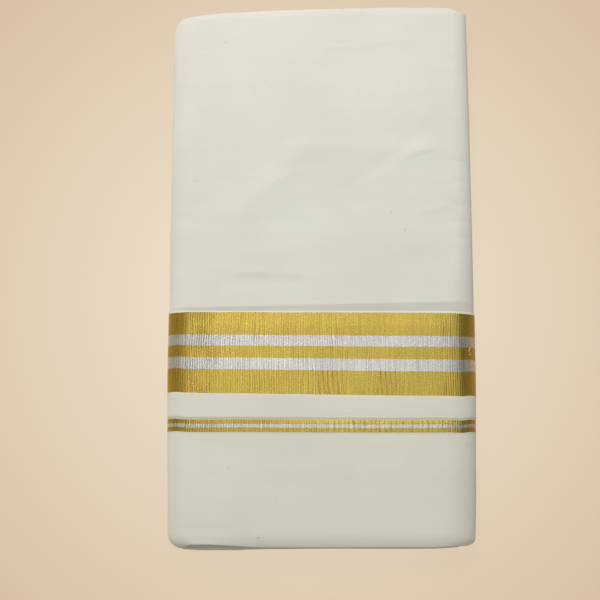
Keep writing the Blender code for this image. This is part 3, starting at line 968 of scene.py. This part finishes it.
def makeFlapCloth():
    settings = flapCloth
    lift = settings["lift"]
    walk = walkRound(settings["columns"])
    edge = pack["selvedge"]
    levels = [edge - away for away in settings["edgeRows"]]
    levels += spread(levels[-1], edge - settings["borderReach"], settings["borderStep"])[1:]
    levels += spread(levels[-1], pack["bottom"] - lift + pack["endRun"][-1], settings["step"])[1:-1]
    rows = [flatRow(y, lift) for y in levels] + endRows(-1, lift, settings["turn"])
    rows.reverse()
    lengths = roundLengths(walk, lift)

    def place(column, row):
        zone, share = walk[column]
        point = wrapPoint(zone, share, rows[row])
        if zone in ("leftRoll", "top", "rightRoll"):
            rise = share if zone == "leftRoll" else 1 - share if zone == "rightRoll" else 1.0
            point.z -= flapClose(point.x, point.y) * rise
            # At the bottom left it is drawn back, so the layers under it peep out.
            back = smoothShare((settings["drawnFrom"] - point.x) / settings["drawnEase"]) * rise
            point.z += settings["drawnFlat"] * back * curlSink(-1, rows[row][0], lift)
            back *= smoothShare(1 - (point.y - pack["bottom"]) / settings["drawnReach"])
            point.y += settings["drawnBack"] * back
        tight = settings["sideClose"] * smoothShare(1 - (edge - point.y) / settings["sideReach"])
        tight *= smoothShare((abs(point.x) - settings["sideFrom"]) / settings["sideEase"])
        point.x -= math.copysign(tight, point.x)
        near = smoothShare(1 - (edge - point.y) / settings["edgeWaveReach"])
        wave = noise.noise((lengths[column] * settings["edgeWaveScale"], 3.0, 8.0))
        point.y += settings["edgeWave"] * wave * near
        return point

    down = rowLengths(rows[::-1], settings["edgeRows"][0])[::-1]

    def clothPlace(column, row, middle):
        shift = bandShift(lengths[column], min(down[row], bandSkew[-1][0]))
        return lengths[column], down[row] - shift

    cloth = makeGrid(len(walk), len(rows), place, clothPlace)
    piece = finishPiece("flapCloth", cloth, borderedCotton, settings["thickness"])
    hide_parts("front_flap", "back_flap")


makeFlapCloth()
print("bordered flap done")


# The layers inside: cloth folded to and fro, as two leaves.
foldedLayers = {
    "fill": 0.86,                  # how much of its room each leaf fills
    "paths": ((12, 3, 4, 11, 8, 7), (14, 1, 6, 9, 10, 5, 2, 13)),
    "flatShares": (0.0, 0.03, 0.07, 0.12, 0.18, 0.26, 0.40, 0.55, 0.70, 0.85, 0.95, 1.0),
    "turnSteps": 6,
    "bodyY": (-0.190, -0.165, -0.135, -0.105, -0.075, -0.050, -0.0330, -0.0324, -0.015, 0.010,
              0.045, 0.080, 0.115, 0.145, 0.170, 0.190),
    "nearEnd": (0.0016, 0.0040, 0.0080),
    "noseSteps": 5,
    "noseHalf": 0.00066,           # half a leaf's thickness where it turns at the pack's ends
    "leafTip": ((0.0, 0.35), (0.004, 0.9)),      # how thin a leaf's first edge is: share, taper
    "recess": 0.0006, "stagger": 0.0003, "raggedness": 0.0004,
    "hiddenLayer": 1, "hiddenShort": 0.0022,     # just under the top of the outer cloth
    "measureAt": 0.2,              # how far up or down the pack a leaf's ends are worked out
    "leftDeepest": 0.0055, "leastCorner": 0.003,
    "poke": 0.0024, "poking": (6, 12),           # the layers that show at the bottom end
    "secondFold": {"setback": 0.0011, "nose": 0.0042},
    "looseEnds": {12: 0.0041, 13: 0.0026},
    "endWall": 0.0012,
    "lipLayers": (7, 14), "lipInset": 0.0015,    # the layers that lie in the two lips
    "bunchX": -0.105, "bunchReach": 0.016, "bunchFade": 0.040,
    "flapSkin": 0.0002,
    "flapLength": 0.186,           # from the woven edge to the bottom fold, on the flat cloth
}
halfLayers, quarterLayers, lastLayer = pack["layers"] // 2, pack["layers"] // 4, pack["layers"] - 1


def bunchLevels(layer, y):
    # (middle, half thickness) of a layer where it lies among the folds at the left.
    seam = midSeam(y)
    small = levelAt(y, pack["smallFoldShare"])
    skin = pack["sheetGap"]
    if layer < halfLayers:
        lip = lipLevel(y)
        pitch = (plainTop(foldedLayers["bunchX"], y) - lip) / halfLayers
        return lip + (halfLayers - layer - 0.5) * pitch, pitch / 2
    if layer < halfLayers + quarterLayers:
        low = small + skin + pack["gap"] + 2 * skin
        pitch = (seam - low) / quarterLayers
        return seam - (layer - halfLayers + 0.5) * pitch, pitch / 2
    if layer in foldedLayers["looseEnds"]:
        low = small + skin + pack["gap"] + (max(foldedLayers["looseEnds"]) - layer) * skin
        return low + foldedLayers["endWall"] / 2, foldedLayers["endWall"] / 2 / foldedLayers["fill"]
    pitch = (small - floorOf(y)) / 2
    return floorOf(y) + (lastLayer + 0.5 - layer) * pitch, pitch / 2


def pitchAt(x, y):
    # How thick one layer is.
    return (plainTop(x, y) - floorOf(y)) / pack["layers"]


def flatLayer(layer, x, y, off):
    # A point of a leaf between its folds. off is -1 on its lower face and 1 on its upper.
    pitch = pitchAt(x, y)
    middle, half = floorOf(y) + (lastLayer + 0.5 - layer) * pitch, pitch / 2
    bunchMiddle, bunchHalf = bunchLevels(layer, y)
    inside = x - sideAt(-1, y) - foldedLayers["bunchReach"]
    blend = 1 - smoothShare(inside / foldedLayers["bunchFade"])
    middle += (bunchMiddle - middle) * blend
    half += (bunchHalf - half) * blend
    return middle + off * half * foldedLayers["fill"]


def flatEnds(layer, y):
    # Where the flat stretch of a layer begins at the left and ends at the right.
    left, right = sideAt(-1, y), sideAt(1, y)
    if layer in foldedLayers["lipLayers"]:
        start = left + pack["lipDepth"] - foldedLayers["lipInset"]
    elif layer in foldedLayers["looseEnds"]:
        start = left + foldedLayers["looseEnds"][layer]
    elif layer < quarterLayers:
        start = left + rolls["left"]["run"]
    elif layer < halfLayers:
        start = left + rolls["nose"]["run"]
    else:
        start = left + foldedLayers["secondFold"]["setback"] + foldedLayers["secondFold"]["nose"]
    return start, right - (rightFold(y)[0] if layer < halfLayers else rolls["under"]["run"])


def leafDepth(nest, pitch, off):
    # How deep a leaf's face lies in a fold, with so many leaves outside it.
    return (nest + 0.5) * pitch - off * pitch / 2 * foldedLayers["fill"]


def leafPoint(stop, y, off):
    # Where a leaf's face lies at this stop of its path, before the ends settle.
    kind, layer, share, sign, taper = stop
    off = off * sign
    if kind == "flat":
        start, finish = flatEnds(layer, y)
        x = start + (finish - start) * share
        return x, flatLayer(layer, x, y, off * taper), min(layer, lastLayer - layer)
    angle = abs(share) * math.pi / 2
    if kind == "right":
        width, power = rightFold(y)[:2]
        reach = width if share > 0 else rolls["under"]["run"]
        right, seam = sideAt(1, y), rightSeam(y)
        top = plainTop(right - width, y)
        depth = leafDepth(layer, (top - floorOf(y)) / pack["layers"], off)
        run, rise = quarterTurn(angle, power if share > 0 else rolls["under"]["power"])
        x = right - depth - run * max(reach - depth, pack["leastRun"])
        if share > 0:
            return x, seam + rise * (top - depth - seam), layer
        return x, seam - rise * (seam - floorOf(y) - depth), layer
    left = sideAt(-1, y)
    if layer < quarterLayers:
        lip = lipLevel(y)
        top = plainTop(left + rolls["left"]["run"], y)
        depth = leafDepth(layer, (top - lip) / halfLayers, off)
        nose = rolls["nose"]["rise"]
        nose = lip + nose + ((top - lip) / 2 - nose) * depth / ((top - lip) / 2)
        run, rise = quarterTurn(angle, rolls["left"]["power"] if share > 0 else 2)
        reach = rolls["left"]["run"] if share > 0 else rolls["nose"]["run"]
        x = left + depth + run * max(reach - depth, pack["leastRun"])
        if share > 0:
            return x, nose + rise * (top - depth - nose), layer
        return x, nose - rise * (nose - lip - depth), layer
    second = foldedLayers["secondFold"]
    top, half = bunchLevels(halfLayers, y)
    middle = (top + bunchLevels(halfLayers + quarterLayers - 1, y)[0]) / 2
    depth = leafDepth(layer - halfLayers, 2 * half, off)
    run, rise = quarterTurn(angle, 2)
    x = left + second["setback"] + depth + run * max(second["nose"] - depth, pack["leastRun"])
    return x, middle + math.copysign(rise, share) * (quarterLayers * half - depth), lastLayer - layer


def cornerDrop(side, end, x, y, depth):
    # How much shorter a leaf is at a rounded corner of the plan.
    run, length, power = corners[side, end]
    least = foldedLayers["leastCorner"]
    run, length = max(run - depth, least), max(length - depth, least)
    away = side * (sideAt(side, y) - x) - depth
    if away >= run:
        return 0.0
    share = min((run - away) / run, 1.0)
    return length * (1 - (1 - share * share) ** (1 / power))


def leafEnd(stop, end):
    # How far a leaf reaches towards an end of the pack at this stop.
    settings = foldedLayers
    inside = settings["measureAt"] * end
    x, nest = leafPoint(stop, inside, 0.0)[::2]
    deep, layer = leafDepth(nest, pitchAt(x, inside), 0.0), stop[1]
    leftDeep = settings["looseEnds"].get(layer, min(deep, settings["leftDeepest"]))
    reach = endAt(end) - settings["recess"]
    reach -= settings["stagger"] * (1 + math.sin(layer * 2.1 + end))
    reach += settings["raggedness"] * noise.noise((x * 22, layer * 3.7, end * 5.0))
    if layer == settings["hiddenLayer"]:
        reach -= settings["hiddenShort"]
    if end < 0 and settings["poking"][0] <= layer <= settings["poking"][1]:
        reach += settings["poke"]
    reach -= cornerDrop(-1, end, x, inside, leftDeep) + cornerDrop(1, end, x, inside, deep)
    return end * reach


def leafStops(path):
    # The stops along a leaf's path: across, round a fold, and back, again and again.
    settings = foldedLayers
    steps = settings["turnSteps"]
    stops = []
    for i, layer in enumerate(path):
        sign = 1 if i % 2 == 0 else -1          # which way the leaf's first face looks
        flats = [("flat", layer, share, sign, 1.0) for share in settings["flatShares"]]
        if i == 0 or i == len(path) - 1:
            flats[:1] = [("flat", layer, share, sign, taper) for share, taper in settings["leafTip"]]
        stops += flats if i % 2 == 0 else flats[::-1]
        if i == len(path) - 1:
            break
        following = path[i + 1]
        upper = min(layer, following)
        turn = [j / steps for j in range(steps - 1, -steps, -1)]
        if layer != upper:
            turn.reverse()
        outer = sign if layer == upper else -sign
        kind = "right" if i % 2 == 0 else "left"
        stops += [(kind, upper, share, outer, 1.0) for share in turn]
    return stops


def leafLoop():
    # Round a leaf's own section: (where, along, off), up its first face and back down the other.
    settings = foldedLayers
    steps = settings["noseSteps"]
    angles = [math.pi * j / steps - math.pi / 2 for j in range(steps + 1)]
    face = [("near", -1, away) for away in settings["nearEnd"]]
    face += [("body", 0, y) for y in settings["bodyY"]]
    face += [("near", 1, away) for away in reversed(settings["nearEnd"])]
    loop = [("nose", -1, angle, 0) for angle in angles] + [(*step, 1) for step in face]
    loop += [("nose", 1, -angle, 0) for angle in angles] + [(*step, -1) for step in reversed(face)]
    return loop + loop[:1]


def makeFoldedLayers():
    settings = foldedLayers
    loop = leafLoop()
    whole = bmesh.new()
    wholeMesh = bpy.data.meshes.new("leaf")
    for path in settings["paths"]:
        stops = leafStops(path)
        reaches = [(leafEnd(stop, -1), leafEnd(stop, 1)) for stop in stops]
        middles = [Vector((*leafPoint(stop, 0.0, 0.0)[:2], 0.0)) for stop in stops]
        steps = ((second - first).length for first, second in zip(middles, middles[1:]))
        lengths = list(accumulate(steps, initial=0.0))

        def place(column, row):
            stop = stops[column]
            where, end, along, face = loop[row]
            reach = reaches[column][1 if end > 0 else 0]
            half, off = settings["noseHalf"] * stop[4], face
            if where == "nose":
                y = reach - end * half * (1 - math.cos(along))
                off = math.sin(along)
            elif where == "near":
                y = reach - end * (half + along)
            else:
                y = along
            x, z = leafPoint(stop, y, off)[:2]
            seam = midSeam(y)
            share = clampTo((z - seam) / (plainTop(0.0, y) - seam))
            z -= curlSink(1 if y > 0 else -1, y) * share
            if face == 1 and y > pack["selvedge"]:
                z -= settings["flapSkin"] * stop[3] if stop[0] == "flat" else 0.0
                if stop[0] == "left":
                    x += settings["flapSkin"] * stop[3]
            return settled(x, y, z)

        def clothPlace(column, row, middle):
            where, end, along, face = loop[row]
            y = along if where == "body" else reaches[column][1 if end > 0 else 0]
            if face > 0 or (where == "nose" and end < 0):
                if middle.y < pack["selvedge"]:
                    return lengths[column], pack["selvedge"] - y
                return lengths[column], outerCloth["clothTop"] + pack["top"] - y
            return lengths[column], settings["flapLength"] + y - pack["bottom"]

        bm = makeGrid(len(stops), len(loop), place, clothPlace)
        bmesh.ops.remove_doubles(bm, verts=bm.verts, dist=1e-7)
        closeUp(bm)
        bm.to_mesh(wholeMesh)
        bm.free()
        whole.from_mesh(wholeMesh)
    bpy.data.meshes.remove(wholeMesh)
    piece = finishPiece("foldedLayers", whole, innerCotton)
    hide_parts("inner_layers", "second_fold", "cloth_end_upper", "cloth_end_lower")


makeFoldedLayers()
print("folded layers done")


def skinHeight(x, y, lift):
    # How high the front's skin lies, over its flat and its side folds.
    left, right = edgeAt(-1, y, -lift), edgeAt(1, y, -lift)
    rightWidth, rightPower = rightFold(y)[:2]
    leftWidth, rightWidth = rolls["left"]["run"] + lift, rightWidth + lift
    top = frontTop(x, y) + lift
    seam = midSeam(y)
    if x > right - rightWidth:
        share, seam = clampTo((right - x) / rightWidth), rightSeam(y)
        return seam + (1 - (1 - share) ** rightPower) ** (1 / rightPower) * (top - seam)
    if x < left + leftWidth:
        nose = seam + pack["sheetGap"] + pack["gap"] + rolls["nose"]["rise"]
        share, power = clampTo((x - left) / leftWidth), rolls["left"]["power"]
        return nose + (1 - (1 - share) ** power) ** (1 / power) * (top - nose)
    return top


slubs = {
    # x, y, length, width, turn in degrees
    "places": (
        (-0.0767, 0.1893, 0.0016, 0.0006, 20), (-0.0990, 0.0720, 0.0014, 0.0006, 80),
        (0.0555, 0.0467, 0.0018, 0.0005, 95), (0.0666, 0.0320, 0.0020, 0.0005, 92),
        (-0.0720, -0.1573, 0.0012, 0.0005, 0), (-0.0494, -0.2110, 0.0016, 0.0005, -35),
        (-0.0451, 0.1558, 0.0014, 0.0005, 5), (0.0315, 0.1475, 0.0014, 0.0005, 60),
    ),
    "height": 0.00016,
    "colour": (0.47, 0.43, 0.34),
}
looseThread = {
    "x": 0.1163, "y": -0.0650, "length": 0.0064, "wave": 0.0008, "loops": 1.6, "sway": 0.0006,
    "swayTurns": 1.3, "up": 0.0007, "above": 0.0004, "radius": 0.00026, "sides": 8, "steps": 28,
    "colour": (0.86, 0.74, 0.26),
}


def makeThreadMaterial(name, colour, roughness, metallic):
    # Twisted thread: its shade runs round it in fine turns.
    material, tree, shader = newMaterial(name)
    bands = addNode(tree, "ShaderNodeTexWave", wave_type="BANDS", bands_direction="DIAGONAL")
    place = Value(tree, addNode(tree, "ShaderNodeTexCoord").outputs["Object"])
    feedAll(bands, {"Vector": place, "Scale": 1800.0, "Distortion": 1.5})
    twist = Value(tree, bands.outputs["Fac"])
    feedAll(shader, {"Base Color": blendColour(tree, twist, shade(colour, (0.6,) * 3), colour),
                     "Roughness": twist * -0.1 + roughness, "Metallic": metallic})
    addBump(tree, shader, twist, 0.4, 0.00005)
    return material


def makeSlubs():
    # Thick places in the yarn, each a low bead half sunk into the cloth.
    bm = bmesh.new()
    for x, y, length, width, turn in slubs["places"]:
        lift = flapCloth["lift"] if y < pack["selvedge"] else 0.0
        spot = settled(x, y, skinHeight(x, y, lift))
        matrix = Matrix.Translation(spot) @ Matrix.Rotation(math.radians(turn), 4, "Z")
        matrix = matrix @ Matrix.Diagonal((length / 2, width / 2, slubs["height"], 1.0))
        bmesh.ops.create_icosphere(bm, subdivisions=2, radius=1.0, matrix=matrix)
    material = makeThreadMaterial("slubYarn", slubs["colour"], 0.85, 0.0)
    finishPiece("slubs", bm, material)


def makeLooseThread():
    # A short end of zari that has worked loose by the right fold and lies there in two bends.
    settings = looseThread
    lift = flapCloth["lift"]

    def route(share):
        turn = 2 * math.pi * settings["loops"] * share
        x = settings["x"] + settings["wave"] * math.sin(turn)
        y = settings["y"] + settings["length"] * (0.5 - share)
        y += settings["sway"] * math.sin(turn * settings["swayTurns"])
        z = skinHeight(x, y, lift) + settings["above"] + settings["up"] * math.sin(math.pi * share)
        return settled(x, y, z)

    points = [route(i / settings["steps"]) for i in range(settings["steps"] + 1)]
    bm = bmesh.new()
    facing = (points[1] - points[0]).to_track_quat("Z", "Y").to_matrix().to_4x4()
    made = bmesh.ops.create_circle(bm, cap_ends=False, segments=settings["sides"],
                                   radius=settings["radius"],
                                   matrix=Matrix.Translation(points[0]) @ facing)
    ring, edges = made["verts"], bm.edges[:]
    for i in range(1, len(points)):
        out = bmesh.ops.extrude_edge_only(bm, edges=edges)["geom"]
        ring = [part for part in out if isinstance(part, bmesh.types.BMVert)]
        edges = [part for part in out if isinstance(part, bmesh.types.BMEdge)
                 and all(vert in ring for vert in part.verts)]
        bmesh.ops.translate(bm, verts=ring, vec=points[i] - points[i - 1])
        if i < len(points) - 1:
            turn = (points[i] - points[i - 1]).rotation_difference(points[i + 1] - points[i])
            bmesh.ops.rotate(bm, verts=ring, cent=points[i], matrix=turn.to_matrix())
    closeUp(bm)
    material = makeThreadMaterial("looseZari", settings["colour"], 0.40, 0.35)
    finishPiece("looseThread", bm, material)


makeSlubs()
makeLooseThread()
print("slubs and loose thread done")


# The floor is a paper sheet that mostly glows, as a light table would, with painted light paler in the
# middle; its glow keeps the pack's shadow on it faint.
stage = {
    "paperInner": (0.850, 0.735, 0.576), "paperOuter": (0.686, 0.533, 0.381),
    "inner": 0.08, "outer": 0.34, "paperShare": 0.06, "glow": 0.929,
    "zenith": (1.0, 1.0, 1.0), "horizon": (0.38, 0.38, 0.38), "worldStrength": 0.785,
    "worldLow": 0.30, "worldHigh": 1.0, "worldRight": -0.20,
    "floorSize": 6.0, "floorDrop": 0.0002, "middleAhead": 0.002,
    "key": {"place": (-0.32, 1.05, 1.46), "size": 0.8, "power": 24.6, "colour": (1.0, 0.99, 0.965)},
}
view = {"target": (-0.01685, -0.02215, 0.012), "elevation": 80.0, "distance": 1.6, "lens": 120.6}


def makeStage():
    bm = bmesh.new()
    bmesh.ops.create_grid(bm, x_segments=1, y_segments=1, size=stage["floorSize"])
    bmesh.ops.translate(bm, verts=bm.verts, vec=(0, 0, -stage["floorDrop"]))
    mesh = bpy.data.meshes.new("floor")
    bm.to_mesh(mesh)
    bm.free()
    material, tree, shader = newMaterial("floorPaper")
    middle = addNode(tree, "ShaderNodeVectorMath", operation="DISTANCE")
    feed(middle.inputs[0], Value(tree, addNode(tree, "ShaderNodeTexCoord").outputs["Object"]))
    feed(middle.inputs[1], (view["target"][0], view["target"][1] + stage["middleAhead"], 0.0))
    away = Value(tree, middle.outputs["Value"]).remap(stage["inner"], stage["outer"])
    paper = blendColour(tree, away, stage["paperInner"], stage["paperOuter"])
    feedAll(shader, {
        "Base Color": blendColour(tree, 1.0, paper, (stage["paperShare"],) * 3, "MULTIPLY"),
        "Emission Color": paper, "Emission Strength": stage["glow"], "Roughness": 0.9,
        "Specular IOR Level": 0.1,
    })
    mesh.materials.append(material)
    floor = addObject("floor", mesh)


def makeWorld():
    world = bpy.data.worlds.new("studio")
    scene.world = world
    world.use_nodes = True
    tree = world.node_tree
    facing = Value(tree, addNode(tree, "ShaderNodeTexCoord").outputs["Generated"])
    right, up = facing.parts()[::2]
    # A little darker towards the right.
    height = right.highest(0.0) * stage["worldRight"] + up
    height = height.remap(stage["worldLow"], stage["worldHigh"])
    feedAll(tree.nodes["Background"], {
        "Color": blendColour(tree, height, stage["horizon"], stage["zenith"]),
        "Strength": stage["worldStrength"],
    })


def makeLight():
    key = stage["key"]
    data = bpy.data.lights.new("keyLight", "AREA")
    data.shape = "SQUARE"
    data.size = key["size"]
    data.energy = key["power"]
    data.color = key["colour"]
    light = addObject("keyLight", data)
    light.location = key["place"]
    light.rotation_euler = (-Vector(key["place"])).to_track_quat("-Z", "Y").to_euler()


def makeCamera():
    data = bpy.data.cameras.new("camera")
    data.lens = view["lens"]
    data.sensor_width = 36.0
    data.clip_start = 0.01
    camera = addObject("camera", data)
    tilt = math.radians(view["elevation"])
    away = Vector((0.0, -math.cos(tilt), math.sin(tilt)))
    camera.location = Vector(view["target"]) + away * view["distance"]
    camera.rotation_euler = (-away).to_track_quat("-Z", "Y").to_euler()
    scene.camera = camera


makeStage()
makeWorld()
makeLight()
makeCamera()
print("stage done")
